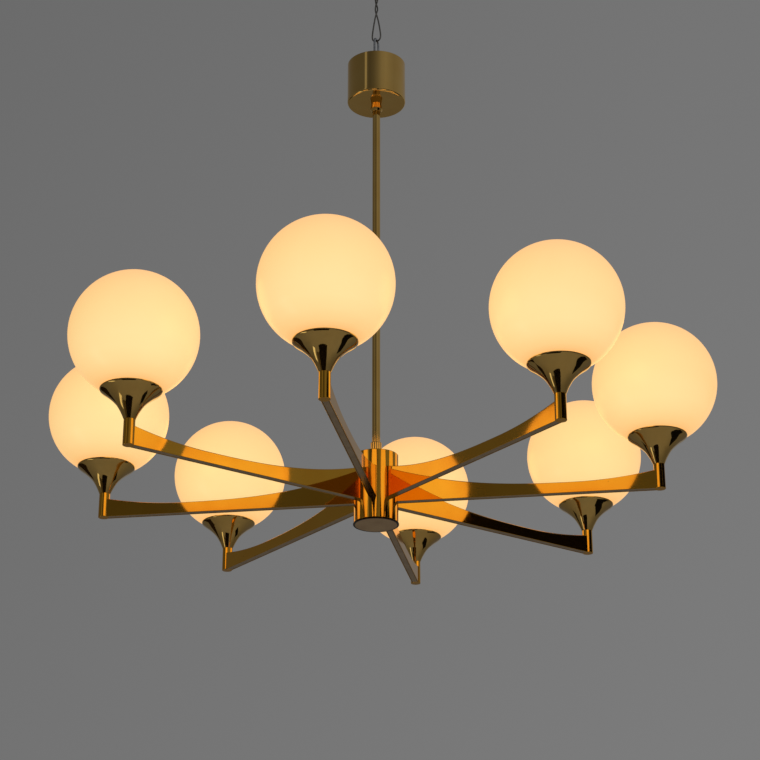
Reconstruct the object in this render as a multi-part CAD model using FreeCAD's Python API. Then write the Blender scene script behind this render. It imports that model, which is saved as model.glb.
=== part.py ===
import FreeCAD, Part
import math
import os

# Eight-arm chandelier in polished brass with opal glass globes, hanging from a steel wire loop.
# Millimetres, +Z up. The origin is where the hanging ring bears on its hook, at the top of everything.
# arm_1 points along +X, and the others follow every 45 degrees towards +Y.

V = FreeCAD.Vector
Z = V(0, 0, 1)

# ---- the whole lamp ----
arm_count = 8
arm_reach = 340.0            # stem axis to globe axis
globe_d = 150.0
stem_l = 562.2               # hub top to stem top
bail_azimuth = 78.0          # direction across the bail's two legs, degrees from +X

# ---- hanging ring, sleeve and wire ----
ring_rod_d = 3.0
ring_inner_d = 16.0
sleeve_d = 6.4
sleeve_h = 16.0
sleeve_eye_depth = 4.5       # sleeve top down to its cross hole
sleeve_eye_gap = 0.9         # ring rod in the sleeve's cross hole, all round
wire_d = 2.0
wire_bail_gap = 0.1
# The wire goes down one strand, under the bail's round top and up the other strand. Each point is
# (along the wire's plane, across it, above its lowest place); the strands twist one full turn near the top.
wire_route = (
    (-1.6, 0.3, 66.0),
    (-1.6, 0.3, 61.2),
    (0.3, 1.9, 55.5),
    (1.9, 0.0, 48.0),
    (-0.2, -1.9, 40.0),
    (-2.9, -0.7, 29.0),
    (-5.0, -0.2, 16.5),
    (-6.3, 0.0, 5.5),
    (-3.7, 0.0, 0.0),
    (3.7, 0.0, 0.0),
    (6.3, 0.0, 5.5),
    (5.0, 0.2, 16.5),
    (2.9, 0.7, 29.0),
    (0.2, 1.9, 40.0),
    (-1.9, 0.0, 48.0),
    (-0.3, -1.9, 55.5),
    (1.6, -0.3, 61.2),
    (1.6, -0.3, 66.0),
)
loop_h = wire_route[0][2]

# ---- bail and its pin ----
bail_rod_d = 3.0
bail_leg = 29.1              # pin to the centre of the bail's round top
bail_stem_gap = 0.3
bail_eye_d = 6.8
pin_d = 4.0
pin_head_d = 7.0
pin_head_h = 2.5
pin_nut_h = 3.0
stem_above_pin = 6.0

# ---- stem ----
stem_d = 10.0
stem_wall = 1.0
stem_thread_l = 14.0         # length below the hub's top plate
stem_nut_af = 17.0
stem_nut_h = 6.0
ferrule_wall = 1.75
ferrule_h = 17.0

# ---- canopy ----
canopy_d = 76.0
canopy_h = 58.6
canopy_wall = 1.2
canopy_edge_r = 3.0
canopy_below_stem_top = 10.9
slide_gap = 0.3              # canopy and collar around the stem, all round
collar_top_wall = 1.2
collar_belly_wall = 2.8
collar_foot_wall = 0.95
collar_belly_up = 3.5        # collar's foot to where it is widest
collar_h = 12.3
set_screw_d = 3.0

# ---- hub ----
hub_d = 54.0
hub_h = 86.6                 # without the bottom cap
hub_wall = 2.0
cap_overhang = 0.75
cap_t = 1.8
cap_spigot_h = 6.0
cap_spigot_wall = 2.0
cap_fit = 0.1

# ---- arms ----
arm_w = 9.5
arm_wall = 1.0
arm_edge = 0.4               # bevel along the two top edges
arm_above_cap = 27.3         # hub cap's lower face to the arm's underside
arm_root_h = 40.0
arm_waist_h = 13.3
arm_waist_share = 0.7        # where along the arm's reach its top edge is lowest
arm_end_h = 23.0
root_curve = 2.6             # how sharply the top edge sweeps up towards the hub
root_block_l = 6.0
end_block_l = 3.0
sole_t = 1.5
lead_bore_d = 5.0
lead_h = 6.3                 # arm's underside to the lead's centre line
screw_d = 4.0
screw_heights = (15.3, 30.3)  # above the arm's underside
screw_head_d = 7.0
screw_head_h = 2.5
screw_clearance = 0.1

# ---- arm tubes, cups and globes ----
tube_d = 13.2
tube_h = 30.7
tube_floor = 3.0
tube_wall = 1.6
nipple_wall = 1.5
nipple_in_tube = 12.0
nipple_in_cup = 14.0
cup_h = 36.2
cup_wall = 1.0
cup_over_tube = 0.1          # the cup's foot stands this far outside its tube
rim_beyond_neck = 8.0
# the cup's outer face from foot to rim: (share of the way out, share of the way up)
cup_outline = ((0.0, 0.0), (0.15, 0.26), (0.35, 0.51), (0.63, 0.727), (0.9, 0.884), (0.99, 0.956), (1.0, 1.0))
rim_gap = 0.3                # cup rim to glass
glass_t = 3.0
neck_in_cup = 6.25           # the glass neck's foot below the cup's rim
neck_bulb_gap = 2.0          # the neck passes over the bulb with this to spare, all round
cone_nut_above_foot = 4.0
cone_nut_h = 4.7
cone_nut_gap = 0.3

# ---- lamp holders, bulbs, springs ----
holder_boss_d = 16.0
holder_d = 25.0
holder_boss_h = 6.5
holder_h = 36.0
holder_thread_l = 5.0
socket_d = 14.4
socket_depth = 22.0
bulb_d = 45.0
bulb_cap_d = 13.6
bulb_cap_in = 17.0
bulb_neck_d = 17.0
bulb_centre_above_holder = 38.5
spring_band_h = 6.0
spring_band_t = 0.8
spring_leaf_t = 0.6
spring_leaf_w = 6.0
spring_bulge_up = 9.5       # band's lower edge to where the leaves press on the neck
spring_neck_gap = 0.5

# ---- wiring ----
hub_block_d = 26.0
hub_block_h = 12.0
canopy_block = (11.0, 18.0, 14.8)
supply_lead_d = 5.0
lead_exit_below_rim = 5.0    # canopy rim to the middle of the lead's way out of the stem
arm_lead_d = 2.6
lead_start_r = 9.0
lead_bend_r = 4.5

# ---- sizes that follow from the sizes above ----
ferrule_d = stem_d + 2 * ferrule_wall
canopy_hole_r = stem_d / 2 + slide_gap
collar_top_r = canopy_hole_r + collar_top_wall
collar_belly_r = canopy_hole_r + collar_belly_wall
collar_foot_r = canopy_hole_r + collar_foot_wall
cap_d = hub_d + 2 * cap_overhang
arm_waist_at = arm_waist_share * arm_reach
globe_r = globe_d / 2
neck_r = bulb_d / 2 + neck_bulb_gap + glass_t
cup_foot_r = tube_d / 2 + cup_over_tube
nipple_d = tube_d - 2 * tube_wall
nipple_bore_d = nipple_d - 2 * nipple_wall
cup_rim_r = neck_r + rim_beyond_neck

# ---- heights that follow ----
ring_centre_z = -ring_inner_d / 2
ring_low_z = ring_centre_z - ring_inner_d / 2 - ring_rod_d / 2
sleeve_top_z = ring_low_z + sleeve_eye_depth
sleeve_bottom_z = sleeve_top_z - sleeve_h
wire_low_z = sleeve_bottom_z - loop_h
bail_inner_r = stem_d / 2 + bail_stem_gap
bail_rod_r = bail_inner_r + bail_rod_d / 2
bail_arc_z = wire_low_z + wire_d / 2 + wire_bail_gap - bail_inner_r
pin_z = bail_arc_z - bail_leg
stem_top_z = pin_z + stem_above_pin
canopy_rim_z = stem_top_z - canopy_below_stem_top
canopy_foot_z = canopy_rim_z - canopy_h
hub_top_z = stem_top_z - stem_l
hub_foot_z = hub_top_z - hub_h
arm_z = hub_foot_z - cap_t + arm_above_cap
cup_foot_z = arm_z + tube_h
globe_above_rim = math.sqrt((globe_r + rim_gap) ** 2 - (cup_rim_r - cup_wall) ** 2)
globe_z = cup_foot_z + cup_h + globe_above_rim
neck_top_z = globe_z - math.sqrt(globe_r ** 2 - neck_r ** 2)
neck_end_z = cup_foot_z + cup_h - neck_in_cup
spring_z = (neck_top_z + neck_end_z) / 2 - spring_bulge_up
holder_foot_z = cup_foot_z + nipple_in_cup - holder_thread_l
holder_body_z = holder_foot_z + holder_boss_h
holder_top_z = holder_body_z + 1.0 + holder_h
lead_z = arm_z + lead_h
lead_exit_z = canopy_rim_z - lead_exit_below_rim
stem_foot_z = hub_top_z - hub_wall - stem_thread_l

os.makedirs("parts", exist_ok=True)


def save(name, shape):
    shape.exportStep("parts/" + name + ".step")


def group(shapes):
    return Part.makeCompound(shapes)


def turned(shape, degrees, centre=V(0, 0, 0)):
    copy = shape.copy()
    copy.rotate(centre, Z, degrees)
    return copy


def around(shape):
    """One copy of the shape for each arm."""
    return [turned(shape, 360.0 / arm_count * i) for i in range(arm_count)]


def rod(radius, z_low, z_high, x=0.0, y=0.0):
    return Part.makeCylinder(radius, z_high - z_low, V(x, y, z_low), Z)


def spun(edges, x=0.0, z=0.0):
    """Solid of revolution about a vertical axis at x, from edges drawn in the XZ plane, closed on the axis."""
    face = Part.Face(Part.Wire(Part.__sortEdges__(edges)))
    solid = face.revolve(V(0, 0, 0), Z, 360)
    solid.translate(V(x, 0, z))
    return solid


def lines(points):
    return [Part.makeLine(V(*a), V(*b)) for a, b in zip(points, points[1:])]


def xz(r, z):
    return (r, 0.0, z)


def across_bail(radius, low, high, z):
    """A round bar along the bail's pin, from low to high along it."""
    direction = V(math.cos(math.radians(bail_azimuth)), math.sin(math.radians(bail_azimuth)), 0)
    return Part.makeCylinder(radius, high - low, direction * low + V(0, 0, z), direction)


def hexagon(across_flats, z_low, height):
    corner = across_flats / math.sqrt(3)
    points = [V(corner * math.cos(math.radians(60 * i)), corner * math.sin(math.radians(60 * i)), z_low)
              for i in range(7)]
    return Part.Face(Part.makePolygon(points)).extrude(V(0, 0, height))


# ---- hanging ring, crimp sleeve ----
def hanging_ring():
    ring = Part.makeTorus(ring_inner_d / 2 + ring_rod_d / 2, ring_rod_d / 2, V(0, 0, ring_centre_z), V(0, 1, 0))
    return turned(ring, bail_azimuth - 90)


def wire_sleeve():
    sleeve = rod(sleeve_d / 2, sleeve_bottom_z, sleeve_top_z)
    eye = Part.makeCylinder(ring_rod_d / 2 + sleeve_eye_gap, sleeve_d * 2, V(-sleeve_d, 0, ring_low_z), V(1, 0, 0))
    return sleeve.cut(turned(eye, bail_azimuth - 90))


# ---- the wire ----
def cord_tube(route, diameter):
    """A tube along straight runs joined by tangent arcs, and a note of its arcs' radii."""
    points = [V(*p) for p in route]
    edges, radii = [], []
    start = points[0]
    for before, corner, after in zip(points, points[1:], points[2:]):
        to_before = (before - corner).normalize()
        to_after = (after - corner).normalize()
        half_turn = (math.pi - to_before.getAngle(to_after)) / 2
        setback = 0.45 * min(before.distanceToPoint(corner), after.distanceToPoint(corner))
        radius = setback / math.tan(half_turn)
        arc_start = corner + to_before * setback
        arc_end = corner + to_after * setback
        centre_way = (to_before + to_after).normalize()
        middle = corner + centre_way * (radius / math.cos(half_turn) - radius)
        edges.append(Part.LineSegment(start, arc_start).toShape())
        edges.append(Part.Arc(arc_start, middle, arc_end).toShape())
        radii.append(radius)
        start = arc_end
    edges.append(Part.LineSegment(start, points[-1]).toShape())
    path = Part.Wire(edges)
    section = Part.Wire(Part.makeCircle(diameter / 2, points[0], points[1] - points[0]))
    tube = path.makePipeShell([section], True, False)
    expected = path.Length * math.pi * diameter ** 2 / 4
    print("cord length %.1f, volume %.1f of %.1f, arc radii in diameters:" % (path.Length, tube.Volume, expected),
          [round(r / diameter, 1) for r in radii])
    return tube


def hanging_wire():
    tube = cord_tube(wire_route, wire_d)
    tube.translate(V(0, 0, wire_low_z))
    return turned(tube, bail_azimuth - 90)


# ---- bail and pin ----
def hanging_bail():
    arc = Part.makeTorus(bail_rod_r, bail_rod_d / 2, V(0, 0, bail_arc_z), V(1, 0, 0))
    upper = Part.makeBox(4 * bail_rod_r, 4 * bail_rod_r, 2 * bail_rod_r,
                         V(-2 * bail_rod_r, -2 * bail_rod_r, bail_arc_z))
    bail = arc.common(upper)
    for side in (-1, 1):
        leg = rod(bail_rod_d / 2, pin_z, bail_arc_z, 0, side * bail_rod_r)
        eye = Part.makeCylinder(bail_eye_d / 2, bail_rod_d,
                                V(0, side * bail_rod_r - bail_rod_d / 2, pin_z), V(0, 1, 0))
        bail = bail.fuse(leg).fuse(eye)
    reach = bail_rod_r + bail_rod_d
    bail = bail.cut(Part.makeCylinder(pin_d / 2 + screw_clearance, 2 * reach, V(0, -reach, pin_z), V(0, 1, 0)))
    return turned(bail.removeSplitter(), bail_azimuth - 90)


def bail_pin():
    outer = bail_rod_r + bail_rod_d / 2
    bolt = across_bail(pin_d / 2, -outer, outer + pin_nut_h + 1.0, pin_z)
    bolt = bolt.fuse(across_bail(pin_head_d / 2, -outer - pin_head_h, -outer, pin_z)).removeSplitter()
    nut = across_bail(pin_head_d / 2, outer, outer + pin_nut_h, pin_z)
    nut = nut.cut(across_bail(pin_d / 2, outer, outer + pin_nut_h, pin_z))
    return group([bolt, nut])


# ---- stem, ferrule, nut ----
def stem_tube():
    tube = rod(stem_d / 2, stem_foot_z, stem_top_z).cut(rod(stem_d / 2 - stem_wall, stem_foot_z, stem_top_z))
    tube = tube.cut(across_bail(pin_d / 2 + screw_clearance, -stem_d, stem_d, pin_z))
    exit_hole = Part.makeCylinder(supply_lead_d / 2 + screw_clearance, stem_d, V(0, 0, lead_exit_z), V(1, 0, 0))
    return tube.cut(turned(exit_hole, bail_azimuth - 90))


def hub_ferrule():
    outer = rod(ferrule_d / 2, hub_top_z, hub_top_z + ferrule_h)
    top_edge = [e for e in outer.Edges if e.BoundBox.ZMin > hub_top_z + ferrule_h - 0.1 and len(e.Vertexes) == 1]
    outer = outer.makeChamfer(0.5, top_edge[:1])
    return outer.cut(rod(stem_d / 2, hub_top_z, hub_top_z + ferrule_h))


def stem_nut():
    nut = hexagon(stem_nut_af, hub_top_z - hub_wall - stem_nut_h, stem_nut_h)
    return nut.cut(rod(stem_d / 2, hub_top_z - hub_wall - stem_nut_h, hub_top_z))


# ---- canopy with its collar ----
def canopy():
    outer_r, foot = canopy_d / 2, canopy_foot_z
    inner_r, inner_edge_r = outer_r - canopy_wall, canopy_edge_r - canopy_wall
    diagonal = math.sqrt(0.5)
    edge_centre = (outer_r - canopy_edge_r, foot + canopy_edge_r)
    outer_edge = Part.Arc(V(edge_centre[0], 0, foot),
                          V(edge_centre[0] + canopy_edge_r * diagonal, 0, edge_centre[1] - canopy_edge_r * diagonal),
                          V(outer_r, 0, edge_centre[1])).toShape()
    inner_edge = Part.Arc(V(edge_centre[0], 0, foot + canopy_wall),
                          V(edge_centre[0] + inner_edge_r * diagonal, 0, edge_centre[1] - inner_edge_r * diagonal),
                          V(inner_r, 0, edge_centre[1])).toShape()
    outer_lines = lines([xz(canopy_hole_r, foot), xz(edge_centre[0], foot)])
    wall_lines = lines([xz(outer_r, edge_centre[1]), xz(outer_r, canopy_rim_z),
                        xz(inner_r, canopy_rim_z), xz(inner_r, edge_centre[1])])
    inner_lines = lines([xz(edge_centre[0], foot + canopy_wall), xz(canopy_hole_r, foot + canopy_wall),
                         xz(canopy_hole_r, foot)])
    return spun(outer_lines + [outer_edge] + wall_lines + [inner_edge] + inner_lines)


def canopy_collar():
    top, foot = canopy_foot_z, canopy_foot_z - collar_h
    edges = lines([xz(canopy_hole_r, top), xz(collar_top_r, top), xz(collar_belly_r, foot + collar_belly_up),
                   xz(collar_foot_r, foot), xz(canopy_hole_r, foot), xz(canopy_hole_r, top)])
    return spun(edges).cut(set_screw_bar(set_screw_d / 2))


def set_screw_bar(radius):
    middle = canopy_foot_z - collar_h / 2
    return Part.makeCylinder(radius, collar_belly_r - canopy_hole_r, V(0, canopy_hole_r, middle), V(0, 1, 0))


def collar_screw():
    middle = canopy_foot_z - collar_h / 2
    flush_r = collar_belly_r - 0.9
    screw = Part.makeCylinder(set_screw_d / 2, flush_r - canopy_hole_r, V(0, canopy_hole_r, middle), V(0, 1, 0))
    socket = Part.makeCylinder(set_screw_d / 4, 0.8, V(0, flush_r - 0.8, middle), V(0, 1, 0))
    return screw.cut(socket)


# ---- hub ----
def radial_bar(radius, r_low, r_high, z):
    return Part.makeCylinder(radius, r_high - r_low, V(r_low, 0, z), V(1, 0, 0))


def hub_shell():
    shell = rod(hub_d / 2, hub_foot_z, hub_top_z)
    shell = shell.cut(rod(hub_d / 2 - hub_wall, hub_foot_z, hub_top_z - hub_wall))
    shell = shell.cut(rod(stem_d / 2, hub_top_z - hub_wall, hub_top_z))
    holes = [radial_bar(lead_bore_d / 2, hub_d / 4, hub_d, lead_z)]
    holes += [radial_bar(screw_d / 2 + screw_clearance, hub_d / 4, hub_d, arm_z + h) for h in screw_heights]
    for hole in holes:
        shell = shell.cut(group(around(hole)))
    return shell


def hub_bottom_cap():
    disc = rod(cap_d / 2, hub_foot_z - cap_t, hub_foot_z)
    edge = [e for e in disc.Edges if len(e.Vertexes) == 1 and e.BoundBox.ZMax < hub_foot_z - cap_t / 2]
    disc = disc.makeChamfer(0.4, edge[:1])
    spigot_r = hub_d / 2 - hub_wall - cap_fit
    spigot = rod(spigot_r, hub_foot_z - cap_t / 2, hub_foot_z + cap_spigot_h)
    spigot = spigot.cut(rod(spigot_r - cap_spigot_wall, hub_foot_z, hub_foot_z + cap_spigot_h))
    return disc.fuse(spigot).removeSplitter()


# ---- arms ----
def arm_height(r):
    """Height of the arm's top edge above its underside at radius r."""
    if r < arm_waist_at:
        share = (arm_waist_at - r) / (arm_waist_at - hub_d / 2)
        return arm_waist_h + (arm_root_h - arm_waist_h) * share ** root_curve
    share = (r - arm_waist_at) / (arm_reach - tube_d / 2 - arm_waist_at)
    return arm_waist_h + (arm_end_h - arm_waist_h) * share ** 2


def arm_prism(r_low, r_high, width, lower, drop):
    """The arm's side outline from r_low to r_high, drop below its top edge, given a width."""
    stations = 11
    radii = [r_low + (r_high - r_low) * i / (stations - 1) for i in range(stations)]
    top = Part.BSplineCurve()
    top.interpolate([V(r, -width / 2, arm_z + arm_height(r) - drop) for r in radii])
    first, last = top.StartPoint, top.EndPoint
    edges = [top.toShape()] + lines([tuple(last), (last.x, last.y, lower), (first.x, first.y, lower), tuple(first)])
    return Part.Face(Part.Wire(edges)).extrude(V(0, width, 0))


def sole_bar(thickness):
    """The strip that closes the arm's underside, with a round end under the tube."""
    width = arm_w - 2 * arm_wall
    start = hub_d / 2 - 2.0
    strip = Part.makeBox(arm_reach - start, width, thickness, V(start, -width / 2, arm_z))
    strip = strip.cut(rod(hub_d / 2, hub_foot_z, hub_top_z))
    return strip.fuse(rod(width / 2, arm_z, arm_z + thickness, arm_reach)).removeSplitter()


def arm():
    root_r, tube_r = hub_d / 2, tube_d / 2
    solid = arm_prism(root_r - 2.0, arm_reach - tube_r / 2, arm_w, arm_z, 0.0)
    top_edges = [e for e in solid.Edges if e.Length > arm_reach / 2 and e.BoundBox.ZMax > arm_z + arm_end_h]
    solid = solid.makeChamfer(arm_edge, top_edges)
    solid = solid.cut(rod(root_r, hub_foot_z, hub_top_z)).cut(rod(tube_r, arm_z - 1, cup_foot_z, arm_reach))
    cavity = arm_prism(root_r + root_block_l, arm_reach - tube_r - end_block_l, arm_w - 2 * arm_wall,
                       arm_z + sole_t, arm_wall)
    solid = solid.cut(cavity).cut(sole_bar(sole_t))
    solid = solid.cut(radial_bar(lead_bore_d / 2, root_r - 2.0, arm_reach, lead_z))
    for height in screw_heights:
        solid = solid.cut(radial_bar(screw_d / 2, root_r - 2.0, root_r + root_block_l + 2.0, arm_z + height))
    return solid


def arm_screws():
    screws = []
    head_r = hub_d / 2 - hub_wall - 0.3
    for height in screw_heights:
        shank = radial_bar(screw_d / 2, head_r - 0.5, hub_d / 2 + root_block_l, arm_z + height)
        head = radial_bar(screw_head_d / 2, head_r - screw_head_h, head_r, arm_z + height)
        slot = Part.makeBox(1.0, 1.0, screw_head_d, V(head_r - screw_head_h, -0.5, arm_z + height - screw_head_d / 2))
        screws.append(shank.fuse(head).removeSplitter().cut(slot))
    return group([s for screw in screws for s in around(screw)])


# ---- arm tube, cup and its fixings ----
def arm_tube():
    tube = rod(tube_d / 2, arm_z, cup_foot_z, arm_reach)
    tube = tube.cut(rod(nipple_d / 2, arm_z + tube_floor, cup_foot_z, arm_reach))
    tube = tube.cut(radial_bar(lead_bore_d / 2, arm_reach - tube_d, arm_reach, lead_z))
    return tube.cut(sole_bar(sole_t))


def offset_outline(gap):
    """The cup's outline moved inwards by gap, measured square to its face."""
    curve = Part.BSplineCurve()
    curve.interpolate([V(cup_foot_r + (cup_rim_r - cup_foot_r) * out, 0, cup_h * up) for out, up in cup_outline])
    low, high = curve.FirstParameter, curve.LastParameter
    stations = 13
    points = []
    for i in range(stations):
        at = low + (high - low) * i / (stations - 1)
        along = curve.tangent(at)[0]
        points.append(curve.value(at) + V(-along.z, 0, along.x) * gap)
    inner = Part.BSplineCurve()
    inner.interpolate(points)
    return inner


def cup():
    outer, inner = offset_outline(0.0), offset_outline(cup_wall)
    foot_hole_r = nipple_d / 2
    inner_foot, inner_rim = inner.StartPoint, inner.EndPoint
    edges = [outer.toShape(), inner.toShape()]
    edges += lines([tuple(outer.EndPoint), tuple(inner_rim)])
    edges += lines([tuple(outer.StartPoint), xz(foot_hole_r, 0), xz(foot_hole_r, inner_foot.z + cup_wall / 4),
                    tuple(inner_foot)])
    return spun(edges, arm_reach, cup_foot_z)


def cup_fixings():
    nipple = rod(nipple_d / 2, cup_foot_z - nipple_in_tube, cup_foot_z + nipple_in_cup, arm_reach)
    nipple = nipple.cut(rod(nipple_bore_d / 2, cup_foot_z - nipple_in_tube, cup_foot_z + nipple_in_cup, arm_reach))
    seat = offset_outline(cup_wall + cone_nut_gap)
    bottom, rim = seat.StartPoint, seat.EndPoint
    plug = spun([seat.toShape()] + lines([tuple(rim), xz(0, rim.z), xz(0, bottom.z), tuple(bottom)]),
                arm_reach, cup_foot_z)
    low = cup_foot_z + cone_nut_above_foot
    nut = plug.common(rod(cup_rim_r, low, low + cone_nut_h, arm_reach))
    nut = nut.cut(rod(nipple_d / 2, low, low + cone_nut_h, arm_reach))
    return group(around(nipple) + around(nut))


# ---- globe ----
def globe():
    neck_inner_r = neck_r - glass_t
    inner_r = globe_r - glass_t
    join_z, end_z = neck_top_z - globe_z, neck_end_z - globe_z
    inner_join_z = -math.sqrt(inner_r ** 2 - neck_inner_r ** 2)
    outer_arc = Part.Arc(V(0, 0, globe_r), V(globe_r, 0, 0), V(neck_r, 0, join_z)).toShape()
    inner_arc = Part.Arc(V(0, 0, inner_r), V(inner_r, 0, 0), V(neck_inner_r, 0, inner_join_z)).toShape()
    lip = lines([xz(neck_r, join_z), xz(neck_r, end_z), xz(neck_inner_r, end_z), xz(neck_inner_r, inner_join_z)])
    crown = lines([xz(0, inner_r), xz(0, globe_r)])
    return spun([outer_arc, inner_arc] + lip + crown, arm_reach, globe_z)


# ---- lamp holder, bulb and spring ----
def lampholders():
    foot, body, top = holder_foot_z, holder_body_z, holder_top_z
    outline = [xz(0, foot), xz(holder_boss_d / 2, foot), xz(holder_boss_d / 2, body), xz(holder_d / 2, body + 1.0),
               xz(holder_d / 2, top - 1.0), xz(holder_d / 2 - 1.0, top), xz(0, top), xz(0, foot)]
    holder = spun(lines(outline), arm_reach)
    holder = holder.cut(rod(nipple_d / 2, foot, cup_foot_z + nipple_in_cup, arm_reach))
    holder = holder.cut(rod(socket_d / 2, top - socket_depth, top, arm_reach))
    return group(around(holder))


def bulbs():
    tangent_angle = math.radians(27.0)
    r = bulb_d / 2
    centre = bulb_centre_above_holder
    join = (r * math.cos(tangent_angle), centre - r * math.sin(tangent_angle))
    ball = Part.Arc(V(join[0], 0, join[1]), V(r, 0, centre), V(0, 0, centre + r)).toShape()
    outline = lines([xz(0, centre + r), xz(0, -bulb_cap_in), xz(bulb_cap_d / 2, -bulb_cap_in),
                     xz(bulb_cap_d / 2, 3.0), xz(bulb_neck_d / 2, 5.0), xz(*join)])
    return group(around(spun(outline + [ball], arm_reach, holder_top_z)))


def globe_springs():
    low = spring_z
    band_r = holder_d / 2 + spring_band_t
    spring = rod(band_r, low, low + spring_band_h, arm_reach)
    reach = neck_r - glass_t - spring_neck_gap
    half = spring_leaf_t / 2
    leaf_points = [xz(band_r - 0.4, low), xz(reach - 0.6, low + 8.0), xz(reach, low + spring_bulge_up),
                   xz(reach - 1.6, low + 13.0), xz(reach - 1.6 - 2 * half, low + 13.0),
                   xz(reach - 2 * half, low + spring_bulge_up), xz(reach - 0.6 - 2 * half, low + 8.4),
                   xz(band_r - 0.4, low + 1.2), xz(band_r - 0.4, low)]
    leaf = Part.Face(Part.Wire(lines(leaf_points))).extrude(V(0, spring_leaf_w, 0))
    leaf.translate(V(arm_reach, -spring_leaf_w / 2, 0))
    for turn in (60, 180, 300):
        spring = spring.fuse(turned(leaf, turn, V(arm_reach, 0, 0)))
    spring = spring.cut(rod(holder_d / 2, low - 1, low + 20, arm_reach))
    return group(around(spring.removeSplitter()))


# ---- terminal blocks and leads ----
hub_block_top_z = hub_foot_z + hub_block_h


def terminal_blocks():
    hub_block = rod(hub_block_d / 2, hub_foot_z, hub_block_top_z)
    for i in range(arm_count):
        angle = math.radians(360.0 / arm_count * (i + 0.5))
        hub_block = hub_block.cut(rod(1.2, hub_block_top_z - 4.0, hub_block_top_z,
                                      9.5 * math.cos(angle), 9.5 * math.sin(angle)))
    depth, width, height = canopy_block
    upper = Part.makeBox(depth, width, height, V(stem_d / 2, -width / 2, lead_exit_z - height / 2))
    return group([hub_block, turned(upper, bail_azimuth - 90)])


def bent_lead(diameter, points):
    """A lead of straight runs with a round bend at each inner point."""
    points = [V(*p) for p in points]
    edges = []
    start = points[0]
    for before, corner, after in zip(points, points[1:], points[2:]):
        to_before = (before - corner).normalize()
        to_after = (after - corner).normalize()
        inward = (to_before + to_after).normalize()
        middle = corner + inward * (lead_bend_r * (math.sqrt(2) - 1))
        edges.append(Part.LineSegment(start, corner + to_before * lead_bend_r).toShape())
        edges.append(Part.Arc(corner + to_before * lead_bend_r, middle, corner + to_after * lead_bend_r).toShape())
        start = corner + to_after * lead_bend_r
    edges.append(Part.LineSegment(start, points[-1]).toShape())
    section = Part.Wire(Part.makeCircle(diameter / 2, points[0], points[1] - points[0]))
    return Part.Wire(edges).makePipeShell([section], True, False)


def leads():
    supply = rod(supply_lead_d / 2, hub_block_top_z, lead_exit_z)
    elbow = Part.makeSphere(supply_lead_d / 2, V(0, 0, lead_exit_z))
    stub = radial_bar(supply_lead_d / 2, 0, stem_d / 2, lead_exit_z)
    supply = turned(supply.fuse(elbow).fuse(stub).removeSplitter(), bail_azimuth - 90)
    lead_top_z = cup_foot_z + nipple_in_cup
    branch = bent_lead(arm_lead_d, [(lead_start_r, 0, hub_block_top_z), (lead_start_r, 0, lead_z),
                                    (arm_reach, 0, lead_z), (arm_reach, 0, lead_top_z)])
    return group([supply] + around(branch))


save("hanging_ring", hanging_ring())
save("wire_sleeve", wire_sleeve())
save("hanging_wire", hanging_wire())
save("hanging_bail", hanging_bail())
save("bail_pin", bail_pin())
save("stem_tube", stem_tube())
save("hub_ferrule", hub_ferrule())
save("stem_nut", stem_nut())
save("canopy", canopy())
save("canopy_collar", canopy_collar())
save("collar_screw", collar_screw())
save("hub_shell", hub_shell())
save("hub_bottom_cap", hub_bottom_cap())
save("arm_screws", arm_screws())
save("cup_fixings", cup_fixings())
save("lampholders", lampholders())
save("bulbs", bulbs())
save("globe_springs", globe_springs())
save("terminal_blocks", terminal_blocks())
save("leads", leads())
for name, shape in (("arm", arm()), ("arm_sole", sole_bar(sole_t)), ("arm_tube", arm_tube()), ("cup", cup()),
                    ("globe", globe())):
    for number, copy in enumerate(around(shape), 1):
        save("%s_%d" % (name, number), copy)
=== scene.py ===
import math
import bmesh
import bpy
from mathutils import Matrix, Vector


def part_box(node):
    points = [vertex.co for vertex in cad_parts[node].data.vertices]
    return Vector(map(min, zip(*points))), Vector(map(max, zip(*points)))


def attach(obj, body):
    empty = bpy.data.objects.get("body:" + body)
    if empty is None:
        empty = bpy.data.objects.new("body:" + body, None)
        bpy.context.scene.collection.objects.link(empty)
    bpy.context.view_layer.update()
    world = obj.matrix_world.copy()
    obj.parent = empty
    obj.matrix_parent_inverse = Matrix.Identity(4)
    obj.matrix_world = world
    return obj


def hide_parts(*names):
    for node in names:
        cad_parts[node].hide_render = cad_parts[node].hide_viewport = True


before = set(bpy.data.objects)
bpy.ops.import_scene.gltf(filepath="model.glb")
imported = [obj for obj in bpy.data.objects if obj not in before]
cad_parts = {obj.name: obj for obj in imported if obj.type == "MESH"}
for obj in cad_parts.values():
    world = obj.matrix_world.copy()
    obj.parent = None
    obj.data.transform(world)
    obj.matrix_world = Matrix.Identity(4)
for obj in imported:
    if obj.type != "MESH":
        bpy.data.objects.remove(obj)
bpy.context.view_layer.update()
scene = bpy.context.scene
scene.view_settings.view_transform = "Standard"


# ---- Studio: camera, grey walls, pale floor, soft light ----
# The lamp hangs in a plain grey studio that is darker on its left side and lighter on its right, over a pale
# painted floor. The camera stands low and looks up. Two large soft boxes, one overhead, light the floor.
camera_data = bpy.data.cameras.new("camera")
camera = bpy.data.objects.new("camera", camera_data)
scene.collection.objects.link(camera)
scene.camera = camera
camera.location = (0.3558, -2.2062, -1.5112)
camera.rotation_euler = (math.radians(90 + 22.53), 0, math.radians(9.04))
camera_data.lens = 92.59
camera_data.sensor_width = 36


def linear(hex_colour):
    """An sRGB hex colour as linear red, green, blue and alpha."""
    shares = [int(hex_colour[i:i + 2], 16) / 255 for i in (1, 3, 5)]
    return [s / 12.92 if s <= 0.04045 else ((s + 0.055) / 1.055) ** 2.4 for s in shares] + [1.0]


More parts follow.
